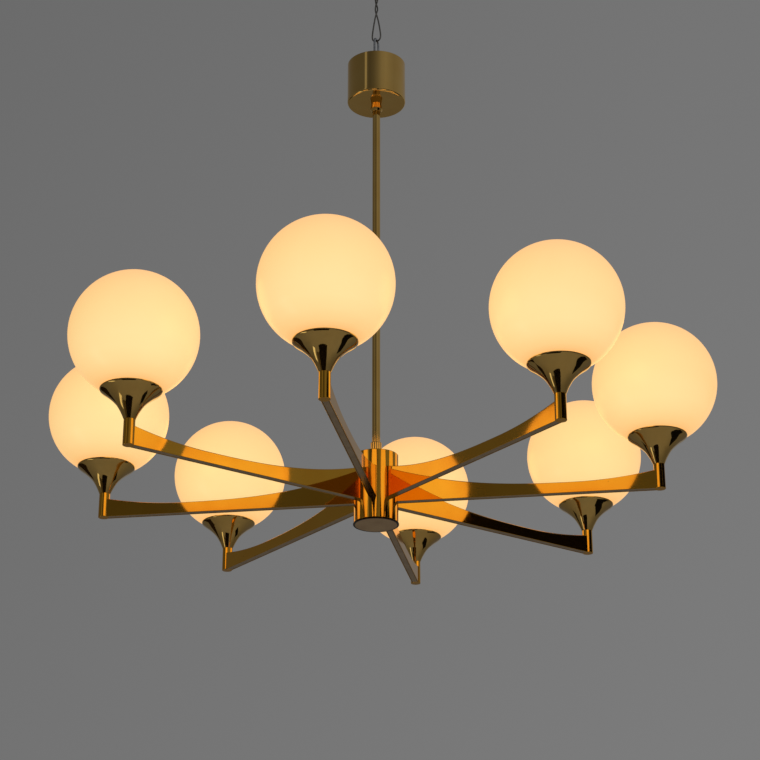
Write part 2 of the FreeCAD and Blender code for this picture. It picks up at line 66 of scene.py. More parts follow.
def add_node(tree, kind, values=None, links=None, **settings):
    """Adds a node with its settings, its input values and the sockets linked to its inputs."""
    node = tree.nodes.new(kind)
    for name, value in settings.items():
        setattr(node, name, value)
    for name, value in (values or {}).items():
        node.inputs[name].default_value = value
    for name, source in (links or {}).items():
        tree.links.new(source, node.inputs[name])
    return node


def set_stops(ramp, stops):
    """Gives a colour ramp its (place, linear colour) stops."""
    elements = ramp.color_ramp.elements
    while len(elements) > 1:
        elements.remove(elements[-1])
    elements[0].position, elements[0].color = stops[0]
    for place, colour in stops[1:]:
        elements.new(place).color = colour


def new_finish(name, metallic=0.0):
    """A new material: itself, its node tree, its shader and its texture coordinates."""
    finish = bpy.data.materials.new(name)
    finish.use_nodes = True
    tree = finish.node_tree
    shader = tree.nodes["Principled BSDF"]
    shader.inputs["Metallic"].default_value = metallic
    return finish, tree, shader, add_node(tree, "ShaderNodeTexCoord")


# The walls by compass direction in degrees from +X, as the brass mirrors them: (direction, brightness).
wall_tones = (
    (-180, 0.095), (-161, 0.090), (-141, 0.088), (-130, 0.088), (-125, 0.30), (-122, 0.30), (-117, 0.075),
    (-107, 0.062), (-91, 0.085), (-76, 0.13), (-60, 0.20), (-43, 0.225), (-26, 0.20), (-7, 0.18),
    (14, 0.19), (41, 0.20), (89, 0.190), (109, 0.163), (145, 0.11), (180, 0.095),
)
lighter_below, darker_above = 1.5, 0.76
world = bpy.data.worlds.new("grey studio")
scene.world = world
world.use_nodes = True
walls = world.node_tree
walls.nodes.clear()
way = add_node(walls, "ShaderNodeTexCoord")
compass = add_node(walls, "ShaderNodeTexGradient", links={"Vector": way.outputs["Generated"]},
                   gradient_type="RADIAL")
tone = add_node(walls, "ShaderNodeValToRGB", links={"Fac": compass.outputs["Fac"]})
set_stops(tone, [(0.5 + degrees / 360, (grey, grey, grey, 1)) for degrees, grey in wall_tones])
way_parts = add_node(walls, "ShaderNodeSeparateXYZ", links={"Vector": way.outputs["Generated"]})
height_tone = add_node(walls, "ShaderNodeMapRange",
                       {"From Min": -1, "To Min": lighter_below, "To Max": darker_above},
                       {"Value": way_parts.outputs["Z"]})
wall_light = add_node(walls, "ShaderNodeBackground", links={"Color": tone.outputs["Color"],
                                                            "Strength": height_tone.outputs["Result"]})
add_node(walls, "ShaderNodeOutputWorld", links={"Surface": wall_light.outputs["Background"]})

floor_z = -2.4
floor_mesh = bpy.data.meshes.new("floor")
floor_half = 60
floor_corners = [(x * floor_half, y * floor_half, floor_z) for x, y in ((-1, -1), (1, -1), (1, 1), (-1, 1))]
floor_mesh.from_pydata(floor_corners, [], [(0, 1, 2, 3)])
floor = bpy.data.objects.new("floor", floor_mesh)
scene.collection.objects.link(floor)
floor_paint, floor_tree, floor_shader, floor_place = new_finish("pale floor paint")
floor_shader.inputs["Roughness"].default_value = 0.7
floor_cloud = add_node(floor_tree, "ShaderNodeTexNoise", {"Scale": 1.5, "Detail": 3},
                       {"Vector": floor_place.outputs["Object"]})
floor_tone = add_node(floor_tree, "ShaderNodeValToRGB", links={"Fac": floor_cloud.outputs["Fac"]})
set_stops(floor_tone, [(0.3, linear("#DDDAD4")), (0.7, linear("#E4E1DC"))])
floor_tree.links.new(floor_tone.outputs["Color"], floor_shader.inputs["Base Color"])
floor_mesh.materials.append(floor_paint)

# What the polished brass mirrors from below: screens, flags and mats round the lamp, which no camera sees and
# which cast no shadow. Each screen is
# (name, middle x, middle y, azimuth of its face, width, lowest z, highest z, colour, glow).
screens = (
    ("black screen", -0.20, -1.40, -90, 1.50, floor_z, -1.06, "#1C120B", 0.0),
    ("lit screen", -1.50, -0.62, -158, 0.34, floor_z, -1.22, "#FFFFFF", 0.80),
    ("brown screen", -1.41, -1.55, -132, 0.80, floor_z, -1.05, "#80745F", 0.0),
    ("dark screen", -1.73, 1.00, 150, 0.55, floor_z, -0.95, "#3A2A18", 0.0),
    ("flag far right", 0.80, 0.10, 7, 0.75, -0.66, -0.47, "#0A0807", 0.0),
    ("flag right", 0.62, -0.52, -40, 0.62, -0.66, -0.46, "#0A0807", 0.0),
)


def screen_finish(name, hex_colour, glow):
    """A plain matt screen, lit evenly from behind when it glows."""
    cloth, _, shader, _ = new_finish(name)
    shader.inputs["Base Color"].default_value = linear(hex_colour)
    shader.inputs["Roughness"].default_value = 0.9
    shader.inputs["Emission Color"].default_value = linear("#F4F2E2")
    shader.inputs["Emission Strength"].default_value = glow
    return cloth


def stand_out_of_sight(name, corners, material):
    """A flat stage piece that is only seen mirrored in the brass."""
    mesh = bpy.data.meshes.new(name)
    mesh.from_pydata(corners, [], [(0, 1, 2, 3)])
    mesh.materials.append(material)
    piece = bpy.data.objects.new(name, mesh)
    scene.collection.objects.link(piece)
    piece.visible_camera = False
    piece.visible_shadow = False
    piece.visible_diffuse = False


for name, x, y, azimuth, width, low, high, colour, glow in screens:
    side = Vector((-math.sin(math.radians(azimuth)), math.cos(math.radians(azimuth)), 0)) * (width / 2)
    ends = [Vector((x, y, 0)) - side, Vector((x, y, 0)) + side]
    stand_out_of_sight(name, [(ends[0].x, ends[0].y, low), (ends[1].x, ends[1].y, low),
                              (ends[1].x, ends[1].y, high), (ends[0].x, ends[0].y, high)],
                       screen_finish(name, colour, glow))
mat_z = floor_z + 0.004
side_mat = [(r * math.cos(math.radians(a)), r * math.sin(math.radians(a)), mat_z)
            for r, a in ((1.15, 17), (3.4, 17), (3.4, 41), (1.15, 41))]
front_mat = [(x, y, mat_z) for x, y in ((-0.95, -1.4), (0.55, -1.4), (0.38, -0.95), (-0.72, -0.95))]
for name, corners, colour in (("black floor mat", side_mat, "#080605"),
                              ("dark floor mat", front_mat, "#1C120B")):
    stand_out_of_sight(name, corners, screen_finish(name, colour, 0.0))

soft_box = bpy.data.lights.new("soft box", "AREA")
soft_box.shape = "SQUARE"
soft_box.size = 3.0
soft_box.energy = 12
floor_box = bpy.data.lights.new("floor box", "AREA")
floor_box.shape = "SQUARE"
floor_box.size = 4.0
floor_box.energy = 7
for light, height in ((soft_box, 2.2), (floor_box, -1.0)):
    lamp = bpy.data.objects.new(light.name, light)
    lamp.location = (0.6, -0.8, height)
    lamp.visible_glossy = False
    lamp.visible_camera = False
    scene.collection.objects.link(lamp)


# ---- Hanging ring ----
# A welded ring of bright 3 mm steel rod that goes over the ceiling hook.
# It is round rod bent on a former, its joint flash-welded and dressed smooth.
def steel_finish(name, dark, light, roughness_low, roughness_high):
    """Steel with faint drawing lines and handling marks, about 4 mm apart."""
    steel, tree, shader, place = new_finish(name, 1.0)
    marks = add_node(tree, "ShaderNodeTexNoise", {"Scale": 260, "Detail": 4},
                     {"Vector": place.outputs["Object"]})
    tint = add_node(tree, "ShaderNodeValToRGB", links={"Fac": marks.outputs["Fac"]})
    set_stops(tint, [(0.35, linear(dark)), (0.65, linear(light))])
    dull = add_node(tree, "ShaderNodeMapRange", {"To Min": roughness_low, "To Max": roughness_high},
                    {"Value": marks.outputs["Fac"]})
    tree.links.new(tint.outputs["Color"], shader.inputs["Base Color"])
    tree.links.new(dull.outputs["Result"], shader.inputs["Roughness"])
    return steel


bright_steel = steel_finish("bright drawn steel", "#A9ACB2", "#CCCFD4", 0.12, 0.22)
bail_azimuth = 78       # direction across the ring, the wire loop and the bail's two legs, degrees from +X
plane_turn = Matrix.Rotation(math.radians(bail_azimuth - 90), 4, "Z")


def piece_from(mesh_or_object, name, material, body, slot, *nodes):
    """Names a finished piece, gives it its material, and ties it to its body and the nodes it stands for."""
    piece = mesh_or_object
    if isinstance(mesh_or_object, bpy.types.Mesh):
        piece = bpy.data.objects.new(name, mesh_or_object)
        scene.collection.objects.link(piece)
    piece.name = name
    if material is not None:
        piece.data.materials.clear()
        piece.data.materials.append(material)
    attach(piece, body)
    if nodes:
        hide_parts(*nodes)
    return piece


def mesh_from(name, build, sharp_degrees=40, outward=True):
    """A smooth-shaded mesh from a bmesh, with its faces turned outwards."""
    if outward:
        bmesh.ops.recalc_face_normals(build, faces=build.faces)
    mesh = bpy.data.meshes.new(name)
    build.to_mesh(mesh)
    build.free()
    mesh.shade_smooth()
    mesh.set_sharp_from_angle(angle=math.radians(sharp_degrees))
    return mesh


def spun(build, outline, closed, segments, place=Matrix()):
    """Spins a (radius, height) outline about the Z axis into the bmesh. A radius of 0 closes on the axis."""
    rings = []
    turns = [2 * math.pi * i / segments for i in range(segments)]
    for radius, height in outline:
        round_places = [Vector((radius * math.cos(a), radius * math.sin(a), height)) for a in turns]
        if radius < 1e-7:
            round_places = [Vector((0, 0, height))]
        rings.append([build.verts.new(place @ p) for p in round_places])
    pairs = list(zip(rings, rings[1:])) + ([(rings[-1], rings[0])] if closed else [])
    for low, high in pairs:
        for i in range(segments):
            j = (i + 1) % segments
            corners = [low[i % len(low)], low[j % len(low)], high[j % len(high)], high[i % len(high)]]
            build.faces.new(list(dict.fromkeys(corners)))


def rod_loop(radius, rod_radius, rod_steps):
    """The outline of a round rod bent into a ring."""
    turns = [2 * math.pi * i / rod_steps for i in range(rod_steps)]
    return [(radius + rod_radius * math.cos(a), rod_radius * math.sin(a)) for a in turns]


ring_low, ring_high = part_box("hanging_ring")
ring_rod_r = 0.0015
ring_centre_z = (ring_low.z + ring_high.z) / 2
ring_r = (ring_high.z - ring_low.z) / 2 - ring_rod_r
ring_build = bmesh.new()
stand_up = Matrix.Rotation(math.radians(90), 4, "X")
spun(ring_build, rod_loop(ring_r, ring_rod_r, 20), True, 96,
     Matrix.Translation((0, 0, ring_centre_z)) @ plane_turn @ stand_up)
ring = piece_from(mesh_from("ring_welded", ring_build), "ring_welded", bright_steel, "hanger", "steel",
                  "hanging_ring")


# ---- Crimp sleeve ----
# A steel sleeve pressed onto both ends of the wire, with a cross hole for the ring.
# The press leaves a dull, slightly scuffed surface.
def refinish(node_name, material):
    """Gives a CAD node that stays in sight its own finish."""
    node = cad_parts[node_name]
    node.data.materials.clear()
    node.data.materials.append(material)
    return node


pressed_steel = steel_finish("pressed zinc-plated steel", "#84868A", "#A6A7A9", 0.28, 0.45)
sleeve = refinish("wire_sleeve", pressed_steel)


# ---- Hanging wire ----
# One length of 2 mm spring steel wire: down one strand, under the bail and up the other, the strands twisted
# together near the sleeve. It is drawn wire, its steel grey darkened as painted shade.
wire_steel_shaded = steel_finish("spring steel wire, darkened for painted shade", "#77746F", "#95918B", 0.25, 0.40)
wire_d = 0.002
wire_low_z = -0.095
wire_route = (
    (-0.0016, 0.0003, 0.0660),
    (-0.0016, 0.0003, 0.0612),
    (0.0003, 0.0019, 0.0555),
    (0.0019, 0.0000, 0.0480),
    (-0.0002, -0.0019, 0.0400),
    (-0.0029, -0.0007, 0.0290),
    (-0.0050, -0.0002, 0.0165),
    (-0.0063, 0.0000, 0.0055),
    (-0.0037, 0.0000, 0.0000),
    (0.0037, 0.0000, 0.0000),
    (0.0063, 0.0000, 0.0055),
    (0.0050, 0.0002, 0.0165),
    (0.0029, 0.0007, 0.0290),
    (0.0002, 0.0019, 0.0400),
    (-0.0019, 0.0000, 0.0480),
    (-0.0003, -0.0019, 0.0555),
    (0.0016, -0.0003, 0.0612),
    (0.0016, -0.0003, 0.0660),
)
wire_curve = bpy.data.curves.new("wire_loop", "CURVE")
wire_curve.dimensions = "3D"
wire_curve.bevel_depth = wire_d / 2
wire_curve.bevel_resolution = 5
wire_curve.use_fill_caps = True
strand = wire_curve.splines.new("NURBS")
strand.points.add(len(wire_route) - 1)
route_places = [plane_turn @ Vector(p) + Vector((0, 0, wire_low_z)) for p in wire_route]
for point, place in zip(strand.points, route_places):
    point.co = (*place, 1)
strand.order_u = 3
strand.use_endpoint_u = True
strand.resolution_u = 10
wire = bpy.data.objects.new("wire_loop", wire_curve)
scene.collection.objects.link(wire)
piece_from(wire, "wire_loop", wire_steel_shaded, "hanger", "steel", "hanging_wire")


# ---- Bail ----
# A stirrup of bright 3 mm steel rod, bent round at the top, with a flattened eye at the foot of each leg.
# Its pin goes through both eyes and the stem.
bail_rod_r = 0.0015
bail_eye_r = 0.0034
bail_low, bail_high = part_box("hanging_bail")
pin_z = bail_low.z + bail_eye_r
bail_r = 0.0068
bail_arc_z = bail_high.z - bail_r - bail_rod_r
rod_sides = 20
bail_line = [(-bail_r, pin_z + 0.002), (-bail_r, pin_z + 0.004)]
bail_line += [(-bail_r * math.cos(math.pi * i / 24), bail_arc_z + bail_r * math.sin(math.pi * i / 24))
              for i in range(25)]
bail_line += [(bail_r, pin_z + 0.004), (bail_r, pin_z + 0.002)]
bail_build = bmesh.new()
bail_rings = []
for i, (across, height) in enumerate(bail_line):
    before, after = bail_line[max(i - 1, 0)], bail_line[min(i + 1, len(bail_line) - 1)]
    along = Vector((0, after[0] - before[0], after[1] - before[1])).normalized()
    side = Vector((1, 0, 0))
    out = along.cross(side)
    centre = Vector((0, across, height))
    turns = [2 * math.pi * k / rod_sides for k in range(rod_sides)]
    round_places = [centre + bail_rod_r * (math.cos(a) * side + math.sin(a) * out) for a in turns]
    bail_rings.append([bail_build.verts.new(plane_turn @ p) for p in round_places])
for low, high in zip(bail_rings, bail_rings[1:]):
    for k in range(rod_sides):
        bail_build.faces.new((low[k], low[(k + 1) % rod_sides], high[(k + 1) % rod_sides], high[k]))
bail_build.faces.new(bail_rings[0])
bail_build.faces.new(bail_rings[-1])


def eased(corners, closed=False, steps=4):
    """An outline through (across, up, radius) corners, each rounded and held straight beside its arc."""
    outline = []
    count = len(corners)
    for i, (x, y, radius) in enumerate(corners):
        point = Vector((x, y))
        at_end = not closed and i in (0, count - 1)
        if radius <= 0 or at_end:
            outline.append((x, y))
            continue
        before = Vector(corners[(i - 1) % count][:2])
        after = Vector(corners[(i + 1) % count][:2])
        back, ahead = (before - point).normalized(), (after - point).normalized()
        half = math.acos(max(-1.0, min(1.0, back.dot(ahead)))) / 2
        setback = radius / math.tan(half)
        middle = (back + ahead).normalized()
        centre = point + middle * (radius / math.sin(half))
        start, end = point + back * setback - centre, point + ahead * setback - centre
        hold = radius * 0.4
        outline.append(tuple(point + back * (setback + hold)))
        for k in range(steps + 1):
            swing = start.lerp(end, k / steps)
            outline.append(tuple(centre + swing.normalized() * radius))
        outline.append(tuple(point + ahead * (setback + hold)))
    return outline


lie_along_pin = Matrix.Rotation(math.radians(-90), 4, "X")
pin_hole_r = 0.0021
eye = eased([(pin_hole_r, -bail_rod_r, 0.0002), (bail_eye_r, -bail_rod_r, 0.0006),
             (bail_eye_r, bail_rod_r, 0.0006), (pin_hole_r, bail_rod_r, 0.0002)], closed=True)
for side in (-1, 1):
    spun(bail_build, eye, True, 40,
         plane_turn @ Matrix.Translation((0, side * bail_r, pin_z)) @ lie_along_pin)
piece_from(mesh_from("bail_bent", bail_build), "bail_bent", bright_steel, "fixture", "steel", "hanging_bail")


# ---- Bail pin ----
# An M4 hexagon bolt across the stem's top with its nut, both zinc plated.
# The corners of the head and of the nut are turned off at 30 degrees.
zinc_steel = steel_finish("zinc-plated steel", "#A3A49F", "#C2C3BD", 0.22, 0.36)


def hexagon(build, across_corners, low, high, place):
    """A hexagon head or nut with its corners turned off, from low to high along Z."""
    bevel = (high - low) * 0.12
    levels = ((across_corners * 0.44, low), (across_corners * 0.5, low + bevel),
              (across_corners * 0.5, high - bevel), (across_corners * 0.44, high))
    turns = [math.pi / 3 * i for i in range(6)]
    rings = [[build.verts.new(place @ Vector((r * math.cos(a), r * math.sin(a), z))) for a in turns]
             for r, z in levels]
    for lower, upper in zip(rings, rings[1:]):
        for i in range(6):
            build.faces.new((lower[i], lower[(i + 1) % 6], upper[(i + 1) % 6], upper[i]))
    build.faces.new(rings[0])
    build.faces.new(rings[-1])


pin_r = 0.002
hexagon_across = 0.007
pin_outer = bail_r + bail_rod_r
pin_place = plane_turn @ Matrix.Translation((0, 0, pin_z)) @ lie_along_pin
pin_build = bmesh.new()
spun(pin_build, [(0, -pin_outer - 0.001), (pin_r, -pin_outer - 0.001), (pin_r, pin_outer + 0.0036),
                 (pin_r - 0.0004, pin_outer + 0.004), (0, pin_outer + 0.004)], False, 32, pin_place)
hexagon(pin_build, hexagon_across, -pin_outer - 0.0025, -pin_outer, pin_place)
hexagon(pin_build, hexagon_across, pin_outer, pin_outer + 0.003, pin_place)
piece_from(mesh_from("bail_bolt", pin_build, 25), "bail_bolt", zinc_steel, "fixture", "steel", "bail_pin")


# ---- Stem ----
# A thin drawn brass tube, mirror polished and lacquered, and screwed into the hub at its foot.
# Its lacquer has yellowed a little and is faintly uneven.
def polished_brass_finish(name, light, deep, roughness_low, roughness_high):
    """Mirror-polished, lacquered brass: a golden mirror with faint buffing lines, haze and tarnish specks."""
    brass, tree, shader, place = new_finish(name, 1.0)
    haze = add_node(tree, "ShaderNodeTexNoise", {"Scale": 22, "Detail": 3},
                    {"Vector": place.outputs["Object"]})
    tint = add_node(tree, "ShaderNodeValToRGB", links={"Fac": haze.outputs["Fac"]})
    set_stops(tint, [(0.35, linear(light)), (0.7, linear(deep))])
    speck_cells = add_node(tree, "ShaderNodeTexVoronoi", {"Scale": 95, "Randomness": 1},
                           {"Vector": place.outputs["Object"]})
    speck = add_node(tree, "ShaderNodeMapRange",
                     {"From Min": 0.06, "From Max": 0.11, "To Min": 0.55, "To Max": 0},
                     {"Value": speck_cells.outputs["Distance"]})
    speck_where = add_node(tree, "ShaderNodeTexNoise", {"Scale": 12, "Detail": 2},
                           {"Vector": place.outputs["Object"]})
    speck_here = add_node(tree, "ShaderNodeMapRange", {"From Min": 0.56, "From Max": 0.66},
                          {"Value": speck_where.outputs["Fac"]})
    speck_share = add_node(tree, "ShaderNodeMath", operation="MULTIPLY",
                           links={0: speck.outputs["Result"], 1: speck_here.outputs["Result"]})
    spotted = add_node(tree, "ShaderNodeMix", links={"Factor": speck_share.outputs["Value"]},
                       data_type="RGBA")
    tree.links.new(tint.outputs["Color"], spotted.inputs[6])
    spotted.inputs[7].default_value = linear("#8A5A26")
    buff_place = add_node(tree, "ShaderNodeMapping", {"Scale": (6, 6, 900)},
                          {"Vector": place.outputs["Object"]})
    buff_lines = add_node(tree, "ShaderNodeTexNoise", {"Scale": 1, "Detail": 3},
                          {"Vector": buff_place.outputs["Vector"]})
    dull = add_node(tree, "ShaderNodeMapRange", {"From Min": 0.3, "From Max": 0.75, "To Min": roughness_low,
                                                 "To Max": roughness_high}, {"Value": haze.outputs["Fac"]})
    buffing = add_node(tree, "ShaderNodeBump", {"Strength": 0.012, "Distance": 0.0002},
                       {"Height": buff_lines.outputs["Fac"]})
    tree.links.new(spotted.outputs[2], shader.inputs["Base Color"])
    tree.links.new(dull.outputs["Result"], shader.inputs["Roughness"])
    tree.links.new(buffing.outputs["Normal"], shader.inputs["Normal"])
    return brass


# Painted light: the stem, ferrule, canopy and collar take this paler, less orange copy of the polished brass,
# for the cool light that they mirror.
polished_brass = polished_brass_finish("polished lacquered brass, paled for painted cool light", "#EEC472", "#E8BA66", 0.035, 0.09)
stem_low, stem_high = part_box("stem_tube")
stem_r = 0.005
stem_wall = 0.001
stem_build = bmesh.new()
spun(stem_build, eased([
    (stem_r - stem_wall, stem_low.z, 0),
    (stem_r, stem_low.z, 0.0002),
    (stem_r, stem_high.z, 0.0003),
    (stem_r - stem_wall, stem_high.z, 0.0002),
], closed=True), True, 64)
piece_from(mesh_from("stem_pipe", stem_build), "stem_pipe", polished_brass, "fixture", "polished_brass",
           "stem_tube")


# ---- Hub ferrule ----
# A short turned brass sleeve that steadies the stem where it enters the hub.
# It is polished with the stem, and its upper edge is rounded over.
ferrule_low, ferrule_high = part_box("hub_ferrule")
ferrule_r = (ferrule_high.x - ferrule_low.x) / 2
ferrule_build = bmesh.new()
spun(ferrule_build, eased([
    (stem_r, ferrule_low.z, 0),
    (ferrule_r, ferrule_low.z, 0.0002),
    (ferrule_r, ferrule_high.z, 0.0006),
    (stem_r, ferrule_high.z, 0),
], closed=True), True, 72)
piece_from(mesh_from("ferrule_turned", ferrule_build), "ferrule_turned", polished_brass, "fixture",
           "polished_brass", "hub_ferrule")


# ---- Canopy ----
# A deep-drawn brass can with a rounded bottom edge and an open top, which slides up the stem to the ceiling.
# It is mirror polished outside.
canopy_low, canopy_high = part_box("canopy")
canopy_r = (canopy_high.x - canopy_low.x) / 2
canopy_wall = 0.0012
canopy_edge_r = 0.003
canopy_hole_r = stem_r + 0.0003
canopy_build = bmesh.new()
canopy_foot, canopy_rim = canopy_low.z, canopy_high.z
spun(canopy_build, eased([
    (canopy_hole_r, canopy_foot, 0.0002),
    (canopy_r, canopy_foot, canopy_edge_r),
    (canopy_r, canopy_rim, 0.0004),
    (canopy_r - canopy_wall, canopy_rim, 0.0004),
    (canopy_r - canopy_wall, canopy_foot + canopy_wall, canopy_edge_r - canopy_wall),
    (canopy_hole_r, canopy_foot + canopy_wall, 0.0002),
], closed=True, steps=8), True, 160)
piece_from(mesh_from("canopy_can", canopy_build), "canopy_can", polished_brass, "canopy", "polished_brass",
           "canopy")


# ---- Canopy collar and its screw ----
# A small turned collar, widest just above its foot, that carries the canopy.
# A set screw through its wall grips the stem and holds the canopy.
collar_low, collar_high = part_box("canopy_collar")
collar_belly_r = (collar_high.x - collar_low.x) / 2
collar_top_r = canopy_hole_r + 0.0012
collar_belly_up = 0.0035
collar_foot_r = canopy_hole_r + 0.00095
collar_build = bmesh.new()
spun(collar_build, eased([
    (canopy_hole_r, collar_high.z, 0),
    (collar_top_r, collar_high.z, 0.0002),
    (collar_belly_r, collar_low.z + collar_belly_up, 0.0012),
    (collar_foot_r, collar_low.z, 0.0002),
    (canopy_hole_r, collar_low.z, 0),
], closed=True), True, 72)
piece_from(mesh_from("collar_turned", collar_build), "collar_turned", polished_brass, "canopy",
           "polished_brass", "canopy_collar")
refinish("collar_screw", zinc_steel)


# ---- Hub ----
# A heavy brass cylinder that carries all eight arms, closed above by its own turned top plate.
# It is polished like the stem.
hub_low, hub_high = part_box("hub_shell")
hub_r = (hub_high.x - hub_low.x) / 2
hub_wall = 0.002
# The hub, arms and tubes take a deeper, more orange copy of the same polished brass; the stem's paler copy is
# painted cool light.
deep_brass = polished_brass_finish("polished brass without the painted cool light", "#E9AE3C", "#E3A434", 0.03, 0.08)
hub_build = bmesh.new()
spun(hub_build, eased([
    (stem_r, hub_high.z, 0),
    (hub_r, hub_high.z, 0.0006),
    (hub_r, hub_low.z, 0.0004),
    (hub_r - hub_wall, hub_low.z, 0.0002),
    (hub_r - hub_wall, hub_high.z - hub_wall, 0),
    (stem_r, hub_high.z - hub_wall, 0),
], closed=True), True, 160)
piece_from(mesh_from("hub_can", hub_build), "hub_can", deep_brass, "fixture", "polished_brass", "hub_shell")


# ---- Hub bottom cap ----
# A flat disc, a little wider than the hub, pressed in from below. It was never polished: dull, brownish and
# faintly marked, with painted shade in a dark ring round its edge.
def dull_brass_finish(name, light, deep, roughness_low, roughness_high, painted_shade_beyond=1.0):
    """Unpolished brass gone brown: a blurred mirror with stains, and painted shade in a dark ring beyond a
    radius.
    """
    brown_brass, tree, shader, place = new_finish(name, 1.0)
    stains = add_node(tree, "ShaderNodeTexNoise", {"Scale": 60, "Detail": 5, "Roughness": 0.6},
                      {"Vector": place.outputs["Object"]})
    tint = add_node(tree, "ShaderNodeValToRGB", links={"Fac": stains.outputs["Fac"]})
    set_stops(tint, [(0.3, linear(deep)), (0.7, linear(light))])
    dull = add_node(tree, "ShaderNodeMapRange", {"To Min": roughness_low, "To Max": roughness_high},
                    {"Value": stains.outputs["Fac"]})
    grit = add_node(tree, "ShaderNodeTexNoise", {"Scale": 1500, "Detail": 2},
                    {"Vector": place.outputs["Object"]})
    rough = add_node(tree, "ShaderNodeBump", {"Strength": 0.06, "Distance": 0.0001},
                     {"Height": grit.outputs["Fac"]})
    # Painted shade: beyond the given radius from the axis, the colour turns dark brown.
    flat = add_node(tree, "ShaderNodeVectorMath", {1: (1, 1, 0)}, {0: place.outputs["Object"]},
                    operation="MULTIPLY")
    away = add_node(tree, "ShaderNodeVectorMath", links={0: flat.outputs["Vector"]}, operation="LENGTH")
    painted_shade_ring = add_node(tree, "ShaderNodeMapRange", {"From Min": painted_shade_beyond, "From Max": painted_shade_beyond + 0.0004},
                      {"Value": away.outputs["Value"]})
    shaded_edge_colour = add_node(tree, "ShaderNodeMix", links={"Factor": painted_shade_ring.outputs["Result"]}, data_type="RGBA")
    tree.links.new(tint.outputs["Color"], shaded_edge_colour.inputs[6])
    shaded_edge_colour.inputs[7].default_value = linear("#2C1B10")
    tree.links.new(shaded_edge_colour.outputs[2], shader.inputs["Base Color"])
    tree.links.new(dull.outputs["Result"], shader.inputs["Roughness"])
    tree.links.new(rough.outputs["Normal"], shader.inputs["Normal"])
    return brown_brass


dull_brass = dull_brass_finish("unpolished brown brass", "#D3B791", "#BFA27C", 0.16, 0.30)
cap_low, cap_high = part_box("hub_bottom_cap")
cap_r = (cap_high.x - cap_low.x) / 2
# How wide the painted shade round the disc's edge is.
painted_shade_w = 0.0026
cap_build = bmesh.new()
spun(cap_build, eased([
    (0, cap_low.z, 0),
    (cap_r, cap_low.z, 0.0005),
    (cap_r, hub_low.z - 0.0002, 0.0003),
    (hub_r - hub_wall - 0.0001, hub_low.z - 0.0002, 0),
    (hub_r - hub_wall - 0.0001, cap_high.z, 0.0004),
    (hub_r - 2 * hub_wall - 0.0001, cap_high.z, 0.0004),
    (hub_r - 2 * hub_wall - 0.0001, hub_low.z, 0),
    (0, hub_low.z, 0),
]), False, 160)
disc_brass = dull_brass_finish("unpolished brown brass, painted shade at edge", "#E6C08C", "#D2A976", 0.16, 0.30,
                               cap_r - painted_shade_w)
piece_from(mesh_from("hub_disc", cap_build), "hub_disc", disc_brass, "fixture", "dull_brass",
           "hub_bottom_cap")


# ---- Arms ----
# Each arm is one folded brass sheet with an open underside: straight below, hollowed above, tall at the hub.
# Its sides are mirror polished, and its long edges are softly rounded by the folding.
arm_count = 8
tube_low, tube_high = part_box("arm_tube_1")
arm_reach = (tube_low.x + tube_high.x) / 2
tube_r = (tube_high.x - tube_low.x) / 2
arm_z = tube_low.z
arm_w = 0.0095
arm_wall = 0.001
arm_root_h, arm_waist_h, arm_end_h = 0.040, 0.0133, 0.023
arm_waist_at = 0.7 * arm_reach
root_curve = 2.6


def arm_height(r):
    """Height of the arm's top edge above its underside at radius r."""
    if r < arm_waist_at:
        share = (arm_waist_at - r) / (arm_waist_at - hub_r)
        return arm_waist_h + (arm_root_h - arm_waist_h) * share ** root_curve
    share = (r - arm_waist_at) / (arm_reach - tube_r - arm_waist_at)
    return arm_waist_h + (arm_end_h - arm_waist_h) * share ** 2


def repeat_tree():
    """Geometry nodes that set copies of a piece evenly round the stem."""
    tree = bpy.data.node_groups.new("round the stem", "GeometryNodeTree")
    for name, kind in (("Piece", "NodeSocketGeometry"), ("Copies", "NodeSocketInt"),
                       ("Finish", "NodeSocketMaterial")):
        tree.interface.new_socket(name=name, in_out="INPUT", socket_type=kind)
    tree.interface.new_socket(name="Geometry", in_out="OUTPUT", socket_type="NodeSocketGeometry")
    given = add_node(tree, "NodeGroupInput")
    places = add_node(tree, "GeometryNodePoints", links={"Count": given.outputs["Copies"]})
    number = add_node(tree, "GeometryNodeInputIndex")
    step = add_node(tree, "ShaderNodeMath", {0: 2 * math.pi}, {1: given.outputs["Copies"]},
                    operation="DIVIDE")
    angle = add_node(tree, "ShaderNodeMath", links={0: number.outputs["Index"], 1: step.outputs["Value"]},
                     operation="MULTIPLY")
    turn = add_node(tree, "ShaderNodeCombineXYZ", links={"Z": angle.outputs["Value"]})
    copies = add_node(tree, "GeometryNodeInstanceOnPoints", links={
        "Points": places.outputs["Geometry"], "Instance": given.outputs["Piece"],
        "Rotation": turn.outputs["Vector"]})
    real = add_node(tree, "GeometryNodeRealizeInstances", links={"Geometry": copies.outputs["Instances"]})
    finished = add_node(tree, "GeometryNodeSetMaterial", links={
        "Geometry": real.outputs["Geometry"], "Material": given.outputs["Finish"]})
    add_node(tree, "NodeGroupOutput", links={"Geometry": finished.outputs["Geometry"]})
    return tree


round_the_stem = repeat_tree()


def round_stem(mesh, material):
    """The mesh repeated once for each arm, as one plain mesh."""
    source = bpy.data.objects.new(mesh.name + "_one", mesh)
    scene.collection.objects.link(source)
    repeat = source.modifiers.new("round the stem", "NODES")
    repeat.node_group = round_the_stem
    sockets = {item.name: item.identifier for item in round_the_stem.interface.items_tree
               if item.in_out == "INPUT"}
    repeat[sockets["Copies"]] = arm_count
    repeat[sockets["Finish"]] = material
    graph = bpy.context.evaluated_depsgraph_get()
    result = bpy.data.meshes.new_from_object(source.evaluated_get(graph), depsgraph=graph)
    bpy.data.objects.remove(source)
    return result


def numbered(name):
    """The node names of one kind of piece, one for each arm."""
    return ["%s_%d" % (name, i) for i in range(1, arm_count + 1)]


